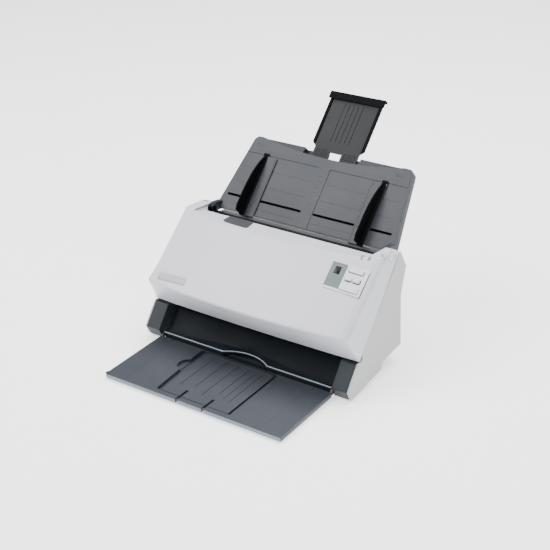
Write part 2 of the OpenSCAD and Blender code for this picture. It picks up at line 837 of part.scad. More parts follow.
module output_tray() {
    lug = [131.3, out_x];
    lug_r = 3;
    back = out_back;
    front = -out_len;
    low = out_z - out_t;
    color([0.38, 0.4, 0.43]) placed() difference() {
        union() {
            span([-out_x, front, low], [out_x, back, out_z]);
            both() span([lug[0], back - 1, 4], [lug[1], out_axis[0], out_z]);
            both() rod(lug[0], lug[1], out_axis, lug_r);
        }
        both() span([flap_x + recess_gap + 3, front + 3, low - 1], [out_x - 3, back - 3, out_z - 2.2]);
        span([-flap_x - recess_gap, -109, out_z - flap_t - 0.8], [flap_x + 1, back - 1, out_z + 1]);
        both() span([slot_x - 3, front - 1, low - 1], [slot_x + 3, -84, out_z + 1]);
        translate([-flap_x - recess_gap + 2, -45.6, out_z - flap_t - 1.2]) cylinder(h = 10, r = 11);
        both() rod(lug[0] - 1, out_x + 1, out_axis, 1.5);
        both() for (i = [0 : 1])
            span([97 + i * 11, -9, out_z - 0.4], [98 + i * 11, back + 1, out_z + 1]);
    }
    color([0.38, 0.4, 0.43]) placed() both() rod(slot_x - 3, slot_x + 3, flap_axis, 1);
}

module output_pins() {
    color("silver") placed() both() rod(131.3, 137.6, out_axis, 1.5);
}

module output_flap() {
    front = -108;
    arm_w = 4.8;
    color([0.36, 0.38, 0.41]) placed() difference() {
        union() {
            difference() {
                span([-flap_x, front, out_z - flap_t], [flap_x, flap_back, out_z]);
                both() span([slot_x - 3, front - 1, 0], [slot_x + 3, -93, out_z + 1]);
            }
            both() translate([slot_x - arm_w / 2, flap_axis[0], flap_axis[1] - 2])
                cube([arm_w, -86 - flap_axis[0], 2]);
            both() rod(slot_x - arm_w / 2, slot_x + arm_w / 2, flap_axis, 2);
        }
        both() rod(slot_x - 4, slot_x + 4, flap_axis, 1 + fit);
        for (x = [-40 : 16 : 40])
            span([x - 0.5, -100, out_z - 0.5], [x + 0.5, -52, out_z + 1]);
        translate([-flap_x - 2, -45.6, 0]) cylinder(h = 20, r = 9);
    }
}

base_pan();
side_panel_left();
side_panel_right();
rear_cover();
paper_guide();
frame_left();
frame_right();
arm_left();
arm_right();
exit_ramp();
exit_strip();
rear_sensor_unit();
rear_sensor_glass();
feed_roller_shaft();
feed_roller_tyre();
drive_roller_shaft();
drive_roller_tyres();
exit_roller_shaft();
exit_roller_tyres();
shaft_bushings();
drive_belt();
motor();
motor_bracket();
motor_pulley();
main_board();
usb_socket();
power_jack();
power_switch();
rubber_feet();
case_screws();
paper_flag();
cover_shell();
cover_chassis();
front_sensor_unit();
front_sensor_glass();
separation_pad();
upper_pinch_rollers();
lower_pinch_rollers();
panel_bezel();
panel_label();
display_window();
button_mode();
button_down();
button_up();
button_scan();
name_plate();
guide_tab();
release_button();
tray_front();
tray_back();
guide_left();
guide_right();
rack_pinion();
extension_plate();
extension_cap();
output_tray();
output_flap();
output_pins();
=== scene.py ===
# Sheet fed document scanner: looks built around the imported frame. Metres, +Z up, +Y to the back.
import json
import math

import bmesh
import bpy
from mathutils import Matrix, Vector


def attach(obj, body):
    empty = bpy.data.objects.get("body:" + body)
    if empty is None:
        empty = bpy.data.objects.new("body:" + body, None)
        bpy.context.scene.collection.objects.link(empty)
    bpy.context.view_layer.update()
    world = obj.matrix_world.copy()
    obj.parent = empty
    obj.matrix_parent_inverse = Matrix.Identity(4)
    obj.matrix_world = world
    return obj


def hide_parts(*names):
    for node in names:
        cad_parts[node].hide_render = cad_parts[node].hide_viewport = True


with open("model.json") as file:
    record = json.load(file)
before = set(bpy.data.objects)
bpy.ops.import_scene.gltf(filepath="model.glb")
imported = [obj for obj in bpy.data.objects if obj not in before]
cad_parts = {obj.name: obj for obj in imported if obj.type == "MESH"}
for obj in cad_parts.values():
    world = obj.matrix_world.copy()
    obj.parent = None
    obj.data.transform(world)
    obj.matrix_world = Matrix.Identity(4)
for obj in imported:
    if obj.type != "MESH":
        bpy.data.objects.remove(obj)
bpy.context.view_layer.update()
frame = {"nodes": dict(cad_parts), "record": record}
NODES = frame["nodes"]
RECORD = frame["record"]
SLOT_OF = {s["node"]: s["material_slot"] for s in RECORD["subparts"]}
BODY_OF = {n: body for body, names in RECORD["behaviour"]["bodies"].items() for n in names}
MM = 0.001
SIDES = ((-1, "left"), (1, "right"))

# ---------------------------------------------------------------- camera and lights

CAMERA_AT = Vector((0.82855, -1.17417, 0.84015))
CAMERA_RIGHT = Vector((0.82336, 0.56663, -0.03163))
CAMERA_UP = Vector((-0.23799, 0.39534, 0.88717))
CAMERA_FORWARD = Vector((-0.51520, 0.72293, -0.46036))
OBJECT_MIDDLE = Vector((0, 0, 0.1))


def add_camera():
    data = bpy.data.cameras.new("camera")
    camera = bpy.data.objects.new("camera", data)
    bpy.context.scene.collection.objects.link(camera)
    data.lens = 81.75
    data.sensor_width = 36
    data.clip_end = 30
    turned = Matrix((CAMERA_RIGHT, CAMERA_UP, -CAMERA_FORWARD)).transposed().to_4x4()
    camera.matrix_world = Matrix.Translation(CAMERA_AT) @ turned
    bpy.context.scene.camera = camera


def area_light(name, place, size, power, tint=(1, 1, 1)):
    """A rectangular light that faces the object's middle."""
    data = bpy.data.lights.new(name, "AREA")
    data.shape = "RECTANGLE"
    data.size, data.size_y = size
    data.energy = power
    data.color = tint
    light = bpy.data.objects.new(name, data)
    light.location = place
    light.rotation_euler = (OBJECT_MIDDLE - Vector(place)).to_track_quat("-Z", "Y").to_euler()
    bpy.context.scene.collection.objects.link(light)


def add_world():
    world = bpy.data.worlds.new("studio")
    bpy.context.scene.world = world
    world.use_nodes = True
    background = world.node_tree.nodes["Background"]
    background.inputs["Color"].default_value = (0.92, 0.95, 1.0, 1)
    background.inputs["Strength"].default_value = 0.45


add_camera()
area_light("key", (-1.3, -1.1, 2.0), (1.3, 1.3), 62, (1, 0.99, 0.98))
area_light("fill", (1.9, -0.9, 1.2), (1.4, 1.4), 16, (0.97, 0.98, 1))
area_light("top", (0.1, 0.7, 2.3), (2.0, 1.4), 105)
add_world()

# ---------------------------------------------------------------- materials

CLOUD_LOW, CLOUD_HIGH = 0.3, 0.7  # the part of a noise pattern that tone and roughness follow


def shader(name):
    mat = bpy.data.materials.new(name)
    mat.use_nodes = True
    tree = mat.node_tree
    return mat, tree, tree.nodes["Principled BSDF"]


def noise(tree, scale, detail=3, stretch=None):
    coord = tree.nodes.new("ShaderNodeTexCoord")
    node = tree.nodes.new("ShaderNodeTexNoise")
    node.inputs["Scale"].default_value = scale
    node.inputs["Detail"].default_value = detail
    source = coord.outputs["Object"]
    if stretch:
        mapping = tree.nodes.new("ShaderNodeMapping")
        mapping.inputs["Scale"].default_value = stretch
        tree.links.new(source, mapping.inputs["Vector"])
        source = mapping.outputs["Vector"]
    tree.links.new(source, node.inputs["Vector"])
    return node.outputs["Fac"]


def ramp(tree, fac, low, high):
    node = tree.nodes.new("ShaderNodeMapRange")
    node.inputs["From Min"].default_value = CLOUD_LOW
    node.inputs["From Max"].default_value = CLOUD_HIGH
    node.inputs["To Min"].default_value = low
    node.inputs["To Max"].default_value = high
    tree.links.new(fac, node.inputs["Value"])
    return node.outputs["Result"]


def tones(tree, fac, dark, light):
    node = tree.nodes.new("ShaderNodeValToRGB")
    node.color_ramp.elements[0].position = CLOUD_LOW
    node.color_ramp.elements[1].position = CLOUD_HIGH
    node.color_ramp.elements[0].color = (*dark, 1)
    node.color_ramp.elements[1].color = (*light, 1)
    tree.links.new(fac, node.inputs["Fac"])
    return node.outputs["Color"]


def raised(tree, bsdf, height, strength, distance):
    """A fine relief that follows a pattern."""
    bump = tree.nodes.new("ShaderNodeBump")
    bump.inputs["Strength"].default_value = strength
    bump.inputs["Distance"].default_value = distance
    tree.links.new(height, bump.inputs["Height"])
    tree.links.new(bump.outputs["Normal"], bsdf.inputs["Normal"])


def moulded(name, color, rough, grain=2600, depth=0.05, vary=0.04, coat=0.0, gloss=0.5):
    """Moulded plastic or rubber: a fine grain, and a cloudy tone that the roughness follows."""
    mat, tree, bsdf = shader(name)
    cloud = noise(tree, 14, 2)
    fine = noise(tree, grain, 2)
    dark = tuple(c * (1 - vary) for c in color)
    light = tuple(min(1, c * (1 + vary)) for c in color)
    tree.links.new(tones(tree, cloud, dark, light), bsdf.inputs["Base Color"])
    roughness = ramp(tree, cloud, rough * 0.9, min(1, rough * 1.1))
    tree.links.new(roughness, bsdf.inputs["Roughness"])
    raised(tree, bsdf, fine, depth, 0.0002)
    bsdf.inputs["Specular IOR Level"].default_value = gloss
    if coat:
        bsdf.inputs["Coat Weight"].default_value = coat
        bsdf.inputs["Coat Roughness"].default_value = 0.25
    return mat


def metal(name, color, rough, stretch=(1, 60, 60)):
    """Brushed metal: the brushing is a noise drawn out along one axis."""
    mat, tree, bsdf = shader(name)
    brushed = noise(tree, 90, 4, stretch)
    dark = tuple(c * 0.88 for c in color)
    tree.links.new(tones(tree, brushed, dark, color), bsdf.inputs["Base Color"])
    tree.links.new(ramp(tree, brushed, rough * 0.8, rough * 1.25), bsdf.inputs["Roughness"])
    bsdf.inputs["Metallic"].default_value = 1
    raised(tree, bsdf, brushed, 0.12, 0.0001)
    return mat


def clear(name, color):
    mat, tree, bsdf = shader(name)
    smudge = noise(tree, 40)
    tree.links.new(ramp(tree, smudge, 0.04, 0.12), bsdf.inputs["Roughness"])
    bsdf.inputs["Base Color"].default_value = (*color, 1)
    bsdf.inputs["Transmission Weight"].default_value = 0.85
    bsdf.inputs["IOR"].default_value = 1.5
    return mat


# color, roughness, grain scale, grain depth, how much the tone varies
PLASTICS = {
    "cover_white": ((0.58, 0.58, 0.63), 0.42, 2400, 0.05, 0.012),
    "case_white": ((0.42, 0.42, 0.425), 0.5, 1800, 0.12, 0.015),
    "charcoal": ((0.015, 0.02, 0.026), 0.5, 2200, 0.12, 0.06),
    "ramp_dark": ((0.004, 0.0065, 0.0095), 0.55, 2600, 0.06, 0.06),
    "tray_grey": ((0.043, 0.046, 0.053), 0.5, 1500, 0.2, 0.05),
    "output_grey": ((0.034, 0.039, 0.048), 0.45, 2200, 0.1, 0.06),
    "plate_dark": ((0.0145, 0.015, 0.0175), 0.5, 2200, 0.1, 0.06),
    "black_plastic": ((0.0025, 0.003, 0.0033), 0.6, 2200, 0.1, 0.1),
    "silver_trim": ((0.42, 0.50, 0.57), 0.3, 2200, 0.04, 0.02),
    "mark_blue": ((0.03, 0.05, 0.16), 0.4, 2200, 0.04, 0.04),
    "lip_blue": ((0.13, 0.18, 0.22), 0.25, 2200, 0.04, 0.02),
    "rubber_grey": ((0.03, 0.03, 0.032), 0.75, 900, 0.3, 0.12),
    "foot_rubber": ((0.012, 0.012, 0.012), 0.85, 900, 0.3, 0.12),
    "nylon": ((0.6, 0.58, 0.5), 0.5, 1200, 0.08, 0.04),
    "board_green": ((0.015, 0.08, 0.036), 0.35, 700, 0.2, 0.15),
    "label_green": ((0.105, 0.145, 0.14), 0.45, 1200, 0.04, 0.03),
    "display_black": ((0.004, 0.004, 0.005), 0.12, 300, 0.01, 0.1),
    "key_white": ((0.66, 0.66, 0.69), 0.35, 2000, 0.04, 0.015),
    "plate_silver": ((0.34, 0.34, 0.365), 0.3, 2400, 0.03, 0.03),
}
GLOSS = {
    "charcoal": 0.35, "ramp_dark": 0.1, "tray_grey": 0.3, "output_grey": 0.35, "plate_dark": 0.2,
    "black_plastic": 0.05, "rubber_grey": 0.2, "foot_rubber": 0.2,
}
COAT = {"display_black": 0.5}
MATERIALS = {
    name: moulded(name, *look, coat=COAT.get(name, 0.0), gloss=GLOSS.get(name, 0.5))
    for name, look in PLASTICS.items()
}
MATERIALS["sheet_steel"] = metal("sheet_steel", (0.55, 0.56, 0.58), 0.35, (40, 1, 1))
MATERIALS["shaft_steel"] = metal("shaft_steel", (0.62, 0.62, 0.64), 0.22)
MATERIALS["brass_pulley"] = metal("brass_pulley", (0.7, 0.53, 0.24), 0.25)
MATERIALS["glass"] = clear("glass", (0.8, 0.9, 0.9))
for name, mat in MATERIALS.items():
    mat.name = name

# ---------------------------------------------------------------- pieces

REPLACED = set()


def link(obj):
    bpy.context.scene.collection.objects.link(obj)
    return obj


def finish_piece(obj, node, slot=None):
    slot = slot or SLOT_OF[node]
    obj.data.materials.clear()
    obj.data.materials.append(MATERIALS[slot])
    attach(obj, BODY_OF[node])


def take_place(node):
    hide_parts(node)
    REPLACED.add(node)


def smooth(value, low, high):
    t = min(1, max(0, (value - low) / (high - low)))
    return t * t * (3 - 2 * t)


def apply_modifiers(obj):
    with bpy.context.temp_override(object=obj, active_object=obj):
        for name in [m.name for m in obj.modifiers]:
            bpy.ops.object.modifier_apply(modifier=name)


def shade(mesh, sharp):
    mesh.shade_smooth()
    mesh.set_sharp_from_angle(angle=math.radians(sharp))


def bevelled(obj, width, segments, angle):
    mod = obj.modifiers.new("bevel", "BEVEL")
    mod.width = width * MM
    mod.segments = segments
    mod.limit_method = "ANGLE"
    mod.angle_limit = math.radians(angle)
    return mod


def refined(node, width, lean=0.0):
    """A copy of a CAD node with its moulded edges rounded, shown in place of the node."""
    sharp = 34
    bm = bmesh.new()
    bm.from_mesh(NODES[node].data)
    bmesh.ops.remove_doubles(bm, verts=bm.verts, dist=2e-6)
    bmesh.ops.dissolve_limit(
        bm, angle_limit=math.radians(0.3), verts=bm.verts, edges=bm.edges, delimit={"NORMAL"}
    )
    for v in bm.verts:
        v.co.x += lean * MM * smooth(v.co.z / MM, LEAN_FROM, LEAN_TO)
    mesh = bpy.data.meshes.new(node + "_form")
    bm.to_mesh(mesh)
    bm.free()
    obj = link(bpy.data.objects.new(node + "_form", mesh))
    shade(mesh, sharp)
    mod = bevelled(obj, width, 2, sharp)
    mod.use_clamp_overlap = False
    mod.harden_normals = True
    finish_piece(obj, node)
    take_place(node)


def mesh_piece(name, node, verts, faces, sharp):
    mesh = bpy.data.meshes.new(name)
    mesh.from_pydata(verts, [], faces)
    mesh.validate()
    bm = bmesh.new()
    bm.from_mesh(mesh)
    bmesh.ops.remove_doubles(bm, verts=bm.verts, dist=1e-6)
    bmesh.ops.recalc_face_normals(bm, faces=bm.faces)
    bm.to_mesh(mesh)
    bm.free()
    shade(mesh, sharp)
    obj = link(bpy.data.objects.new(name, mesh))
    finish_piece(obj, node)
    take_place(node)
    return obj


def box_mesh(name, boxes, matrix):
    """One mesh of separate boxes, each two corners in millimetres in the matrix's axes."""
    bm = bmesh.new()
    for low, high in boxes:
        made = bmesh.ops.create_cube(bm, size=1)["verts"]
        for v in made:
            v.co = Vector([MM * (a if c < 0 else b) for c, a, b in zip(v.co, low, high)])
    bm.transform(matrix)
    mesh = bpy.data.meshes.new(name)
    bm.to_mesh(mesh)
    bm.free()
    return mesh


def outline_mesh(name, outline, low, high, matrix):
    """An outline of (x, y) points drawn up from low to high, in the matrix's axes."""
    bm = bmesh.new()
    foot = [bm.verts.new((x * MM, y * MM, low * MM)) for x, y in outline]
    head = [bm.verts.new((x * MM, y * MM, high * MM)) for x, y in outline]
    bm.faces.new(list(reversed(foot)))
    bm.faces.new(head)
    n = len(outline)
    for i in range(n):
        bm.faces.new((foot[i], foot[(i + 1) % n], head[(i + 1) % n], head[i]))
    bmesh.ops.recalc_face_normals(bm, faces=bm.faces)
    bm.transform(matrix)
    mesh = bpy.data.meshes.new(name)
    bm.to_mesh(mesh)
    bm.free()
    return mesh


def carve(obj, mesh):
    cutter = link(bpy.data.objects.new("cutter", mesh))
    mod = obj.modifiers.new("carve", "BOOLEAN")
    mod.object = cutter
    mod.operation = "DIFFERENCE"
    mod.solver = "EXACT"
    mod.use_self = True
    apply_modifiers(obj)
    bpy.data.objects.remove(cutter)


def tidy_normals(obj, sharp=35):
    shade(obj.data, sharp)
    mod = obj.modifiers.new("normals", "WEIGHTED_NORMAL")
    mod.keep_sharp = True
    apply_modifiers(obj)


def solid(name, node, mesh, bevel, cuts=(), slot=None, replaces=True, look=None):
    """A moulded piece: its own edges are rounded first, then its grooves and slots are cut."""
    obj = link(bpy.data.objects.new(name, mesh))
    bevelled(obj, bevel, 3, 32)
    apply_modifiers(obj)
    for cutter in cuts:
        carve(obj, cutter)
    tidy_normals(obj)
    finish_piece(obj, node, slot)
    if look:
        obj.data.materials[0] = MATERIALS[look]
    if replaces:
        take_place(node)


# ---------------------------------------------------------------- outlines and places

Y_CENTRE = 84.521  # how far the design's front foot line lies in front of the frame's middle


def at(x, y, z):
    return Vector((x * MM, (y - Y_CENTRE) * MM, z * MM))


def span(sd, near, far):
    """Two distances from the middle, on one side, as a range across."""
    return sorted((sd * near, sd * far))


def grid(rows):
    """Faces of a sheet whose rows all hold the same number of points."""
    n = len(rows[0])
    verts = [p for row in rows for p in row]
    faces = [
        (i * n + j, i * n + j + 1, (i + 1) * n + j + 1, (i + 1) * n + j)
        for i in range(len(rows) - 1) for j in range(n - 1)
    ]
    return verts, faces


def rounded_path(points, radii, steps):
    """A polyline of (y, z) points with its inner corners rounded."""
    out = [Vector(points[0])]
    for i in range(1, len(points) - 1):
        a, b, c = (Vector(points[k]) for k in (i - 1, i, i + 1))
        back, on = (a - b).normalized(), (c - b).normalized()
        half = back.angle(on) / 2
        reach = radii[i - 1] / math.tan(half)
        start, end = b + back * reach, b + on * reach
        for k in range(steps + 1):
            t = k / steps
            out.append(start * (1 - t) ** 2 + b * 2 * t * (1 - t) + end * t ** 2)
    out.append(Vector(points[-1]))
    return out


def arc_points(cx, cy, r, start, end, steps=8):
    angles = [math.radians(start + (end - start) * k / steps) for k in range(steps + 1)]
    return [(cx + r * math.cos(a), cy + r * math.sin(a)) for a in angles]


def circle(cx, cy, r):
    return arc_points(cx, cy, r, 0, 352, 44)


def rounded_box(x0, x1, y0, y1, r, steps=6):
    corners = ((x1 - r, y1 - r, 0), (x0 + r, y1 - r, 90), (x0 + r, y0 + r, 180), (x1 - r, y0 + r, 270))
    return [p for cx, cy, a in corners for p in arc_points(cx, cy, r, a, a + 90, steps)]


# a flat outline's x, y and height become y, z and x: the outline is a side view, drawn out across
SIDE_VIEW = Matrix(((0, 0, 1, 0), (1, 0, 0, 0), (0, 1, 0, 0), (0, 0, 0, 1)))
FLAT = Matrix.Translation(at(0, 0, 0))
ACROSS = FLAT @ SIDE_VIEW


def turn(degrees, axis):
    return Matrix.Rotation(math.radians(degrees), 4, axis)


TRAY = Matrix.Translation(at(0, 148.8, 157.7)) @ turn(45, "X")
BAND = Matrix.Translation(at(0, 65, 155.6)) @ turn(-10.3, "X")
PANEL_X, PANEL_DOWN = 121.7, 39  # the panel's middle: across, and down from the face's top edge
FACE = Matrix.Translation(at(0, 82.5, 159.4)) @ turn(39.7, "X")
PANEL = FACE @ Matrix.Translation(Vector((PANEL_X, -PANEL_DOWN, 3.3)) * MM) @ turn(4.6, "Y")
RELEASE_X, RELEASE_Y, RELEASE_Z = 154.6, 94.5, 158.5

# ---------------------------------------------------------------- front cover

HALF = 159.0
COVER_THICK = 2.4
WALL_GAP = 0.06  # keeps the wall's foot inside the design's width
SEAM_LOW, SEAM_HIGH = Vector((19.5, 47.45)), Vector((115.1, 154.25))
CREASE_PART, TOP_PART = 0.13, 0.84  # where the crease and the face top meet the seam, along it
WALL_ROUND = 8.0
LEFT_LEAN, RIGHT_LEAN = 9.0, 1.0  # how far the seam leans in at the top
LEAN_FROM, LEAN_TO = 80, 153
CORNER_LEANS = ((5.6, 12.6), (3.2, 0.4))  # left and right: up to the crease, and on to the top


def cover_column(x):
    """The cover's profile at one place across, as (y, z, share of the seam) points."""
    a = min(1, abs(x) / HALF) ** 2.3
    ear = smooth(abs(x), 129, 138)
    lip = (17.7 + 2.9 * a, 46.6)
    crease = (-15.2 + 11.9 * a, 87.9 - 0.3 * a)
    top = (65 + 17.5 * a, 155.6 + 3.8 * a)
    rear = (104 + 14.6 * ear, 148.6 + 6.4 * ear)
    bend_steps = 8
    path = rounded_path([lip, crease, top, rear], [3.2, 4.5], bend_steps)
    arc = bend_steps + 1
    parts = [  # start and end, steps, and the shares of the seam they face
        (path[0], path[1], 8, 0.0, CREASE_PART * 0.9),
        (path[arc], path[arc + 1], 22, CREASE_PART * 1.1, TOP_PART * 0.99),
        (path[2 * arc], path[2 * arc + 1], 10, TOP_PART * 1.01, 1.0),
    ]
    out = []
    for i, (p, q, n, s0, s1) in enumerate(parts):
        for k in range(n + 1):
            t = k / n
            out.append((*p.lerp(q, t), s0 + (s1 - s0) * t))
        if i < len(parts) - 1:
            bend = path[1 + arc * i: 1 + arc * (i + 1)]
            s2 = parts[i + 1][3]
            for k in range(1, bend_steps):
                out.append((*bend[k], s1 + (s2 - s1) * k / bend_steps))
    return out


def seam_lean(sd, z):
    """How far a side wall leans in at a height, in millimetres."""
    return (LEFT_LEAN if sd < 0 else RIGHT_LEAN) * smooth(z, LEAN_FROM, LEAN_TO)


def corner_lean(share, crease, extra):
    """How far the rounded corner above the wall leans in, at a share of the seam."""
    rise = min(1, max(0, (share - CREASE_PART) / (TOP_PART - CREASE_PART)))
    return smooth(share, 0, CREASE_PART) * crease + rise * extra


def wing(edge, foot):
    """From the face round the corner and down the wall, as (across, corner's part, (y, z))."""
    reach = foot - edge
    depth = min(WALL_ROUND, reach.length * 0.5)
    inward = reach.normalized() if reach.length > 1e-6 else Vector((0, 0))
    out = []
    for k in range(1, 9):
        a = math.pi / 2 * k / 8
        place = edge + inward * depth * (1 - math.cos(a))
        out.append((WALL_ROUND * (math.sin(a) - 1), 1.0, place))
    start = edge + inward * depth
    for k in range(1, 7):
        t = k / 6
        out.append((0.0, 1 - t, start.lerp(foot, t)))
    return out


def cover_rows():
    edge_x = HALF - 3.2
    xs = {HALF * math.sin(math.radians(d)) for d in range(-72, 73, 3)}
    xs |= {sd * v for sd, _ in SIDES for v in range(128, 149, 2)}
    flat = sorted(x for x in xs if abs(x) <= edge_x - WALL_ROUND - 0.5)
    middle = [cover_column(x) for x in flat]
    rows = []
    for j, (y, z, share) in enumerate(cover_column(edge_x)):
        foot = SEAM_LOW.lerp(SEAM_HIGH, share)
        points = wing(Vector((y, z)), foot)
        walls = []
        for (sd, _), leans in zip(SIDES, CORNER_LEANS):
            low, high = seam_lean(sd, foot.y), corner_lean(share, *leans)
            walls.append([
                at(sd * (HALF - WALL_GAP + dx - high * part - low * (1 - part)), *q)
                for dx, part, q in points
            ])
        face = [at(x, c[j][0], c[j][1]) for x, c in zip(flat, middle)]
        rows.append(walls[0][::-1] + face + walls[1])
    return rows


def front_cover():
    cover = mesh_piece("cover_shell_form", "cover_shell", *grid(cover_rows()), sharp=60)
    thick = cover.modifiers.new("thick", "SOLIDIFY")
    thick.thickness = COVER_THICK * MM
    thick.offset = -1
    thick.use_even_offset = False
    apply_modifiers(cover)
    carve(cover, box_mesh("pocket", [((-24, -17, -8), (24, 17, 6))], PANEL))
    release = Matrix.Translation(at(RELEASE_X, RELEASE_Y, RELEASE_Z)) @ turn(90, "Y")
    carve(cover, outline_mesh("bore", circle(0, 0, 5.6), -8, 9, release))
    tidy_normals(cover, 40)


def release_boss():
    """The raised ring that the release button sits in."""
    matrix = ACROSS @ Matrix.Translation((0, 0, RELEASE_X * MM))
    ring = circle(RELEASE_Y, RELEASE_Z, 7.6)
    bore = circle(RELEASE_Y, RELEASE_Z, 5.7)
    solid(
        "release_boss", "cover_shell", outline_mesh("boss", ring, -3.6, 3.6, matrix), 0.8,
        [outline_mesh("bore", bore, -0.5, 8, matrix)], replaces=False,
    )


# ---------------------------------------------------------------- input tray

TRAY_LOW_X, TRAY_TOP_X, TRAY_LEN = 138.0, 122.7, 90.0
DIP, DIP_X = 11.0, 110.0
DIP_R = (DIP_X ** 2 + DIP ** 2) / (2 * DIP)
TRAY_FOOT = (-129, -22)
TRAY_SIDE = [
    (129, -22), (TRAY_LOW_X, -16), (TRAY_TOP_X + 0.3, 86), (TRAY_TOP_X - 3.5, TRAY_LEN),
]
HINGE_S, HINGE_H = -27.932, 10.677  # the tray's axis, along the tray and above it
SLOT_HALF = 1.7


def mirrored(points, shift=0.0):
    return [(shift - x, y) for x, y in reversed(points)]


def tray_dip(drop=0):
    """The tray's top edge, which dips along an arc, from right to left."""
    level = TRAY_LEN - DIP + DIP_R - drop
    return [(x, level - math.sqrt(DIP_R ** 2 - x * x)) for x in range(110, -111, -10)]


def tray_marks():
    """The guides' slots, the moulded seams, and the plain ticks and faint lines."""
    cuts = []
    for sd, _ in SIDES:
        near, far = span(sd, 9.3, 128)
        cuts.append(((near, -SLOT_HALF, -5), (far, SLOT_HALF, 2)))
    for sd, _ in SIDES:
        near, far = span(sd, 9, 125)
        cuts.append(((near, 64.3, -0.7), (far, 65.3, 2)))
    cuts.append(((8.5, -23, -0.7), (9.4, 64.2, 2)))
    for sd, _ in SIDES:
        near, far = span(sd, 11, 121)
        cuts += [((near, s, -0.25), (far, s + 0.5, 2)) for s in (-13, 20, 43)]
    for k, s in enumerate((52, 45, 36, 29, 24, 12, 5)):
        cuts.append(((-4.5, s, -0.3), (1.5 + (k % 2) * 3, s + 0.7, 2)))
    for k in range(9):
        for sd, _ in SIDES:
            x = sd * (58 + 6 * k)
            cuts.append(((x - 0.35, 68.5, -0.3), (x + 0.35, 71 + (k % 2), 2)))
    sheet_icon = (
        (-5, 0, 4, 0.6), (-5, 3.4, 4, 0.6), (-5, 0.8, 0.6, 2.4), (-1.6, 0.8, 0.6, 2.4),
        (1, 1.5, 4, 0.6),
    )
    for sd, _ in SIDES:
        for dx, dy, w, h in sheet_icon:
            x, s = sd * 108 + dx, 76 + dy
            cuts.append(((x, s, -0.3), (x + w, s + h, 2)))
    return cuts


def tray_front():
    outline = [TRAY_FOOT] + TRAY_SIDE + tray_dip() + mirrored(TRAY_SIDE[1:], 1.4)
    solid(
        "tray_front_form", "tray_front", outline_mesh("front", outline, -3, 0, TRAY), 0.7,
        [box_mesh("slots", tray_marks(), TRAY)],
    )
    # A thin black strip on the left edge only: painted shade for the back shell's side, which shows
    # dark in shadow beside the front plate.
    width = 1.2
    strip = [
        (-TRAY_LOW_X, -16), (width - TRAY_LOW_X, -16), (width - TRAY_TOP_X, 85.5),
        (-TRAY_TOP_X, 85.5),
    ]
    solid(
        "tray_left_edge_shade", "tray_front", outline_mesh("edge", strip, -3, -0.9, TRAY), 0.3,
        slot="black_plastic", replaces=False,
    )


def tray_back():
    """A tray-shaped box, open on top under the front plate, with the extension's channel."""
    outline = [TRAY_FOOT] + TRAY_SIDE + mirrored(TRAY_SIDE[1:])
    pocket = [(-126.5, -19.8), (126.5, -19.8), (135.4, -14), (121.6, 66)]
    pocket += tray_dip(8) + [(-121.6, 66), (-135.4, -14)]
    channel = [((-43.5, 58, -13.1), (43.5, 92, 1)), ((-9.5, 79, -16), (9.5, 92, 0))]
    panels = [((sd * 60 - 6, 10, -15.1), (sd * 60 + 6, 60, -14.4)) for sd, _ in SIDES]
    solid(
        "tray_back_form", "tray_back", outline_mesh("back", outline, -15, -3.1, TRAY), 1.0,
        [
            outline_mesh("pocket", pocket, -13, 0, TRAY), box_mesh("channel", channel, TRAY),
            box_mesh("panels", panels, TRAY),
        ],
    )


def tray_arm(sd, side):
    arm = [(-12, -8), (-12, 1), (-22, HINGE_H + 4)]
    arm += arc_points(HINGE_S, HINGE_H, 5, 50, 200, 10) + [(-24, -3), (-21, -8)]
    bore = arc_points(HINGE_S, HINGE_H, 3.05, 0, 345, 24)
    matrix = TRAY @ SIDE_VIEW @ Matrix.Translation((0, 0, sd * 134.8 * MM))
    solid(
        "tray_arm_" + side, "tray_back", outline_mesh("arm", arm, -3.7, 3.7, matrix), 0.6,
        [outline_mesh("bore", bore, -6, 6, matrix)], replaces=False,
    )


def throat_plate():
    """The dark plate behind the cover's mouth, which hides the rear cover from the front."""
    boxes = [((-126.5, -46, -1.6), (126.5, -24.4, -0.2))]
    for sd, _ in SIDES:
        near, far = span(sd, 126.6, 138.5)
        boxes.append(((near, -46, -1.6), (far, -26.6, -0.2)))
    solid(
        "throat_plate", "paper_guide", box_mesh("throat", boxes, TRAY), 0.2, replaces=False,
        look="tray_grey",
    )


# ---------------------------------------------------------------- paper guides

GUIDE_X = 91.0
GUIDE_LOW, GUIDE_LEN = -25, 92
BASE_TOP = 2.3
FIN_RISE, FIN_WIDE = 19.7, 2.0
QUARTER = (0, 0.4, 0.8, 1.2, 1.5708)


def guide_height(s):
    t = min(1, max(0, (s - GUIDE_LOW) / GUIDE_LEN))
    nose = 1 if s > -18 else 0.86 + 0.14 * (s - GUIDE_LOW) / 7
    return BASE_TOP + FIN_RISE * (1 - t ** 3.4) * nose


def guide_section(s):
    """The fin's outline at one place along the tray, from its inner foot over the top."""
    h = guide_height(s)
    free = h - BASE_TOP
    inner, outer = min(3.0, free * 0.6), min(4.0, free * 0.7)
    top = max(h, 2.5)
    points = [(-inner * (1 - math.sin(a)), BASE_TOP + inner * (1 - math.cos(a))) for a in QUARTER]
    points += [(0.05, max(2.35 + inner, top - 0.7)), (0.35, top - 0.15), (1.0, top)]
    points += [(1.65, top - 0.15), (1.95, max(2.35 + outer, top - 0.7))]
    points += [
        (FIN_WIDE + outer * (1 - math.cos(a)), BASE_TOP + outer * (1 - math.sin(a)))
        for a in QUARTER
    ]
    return points


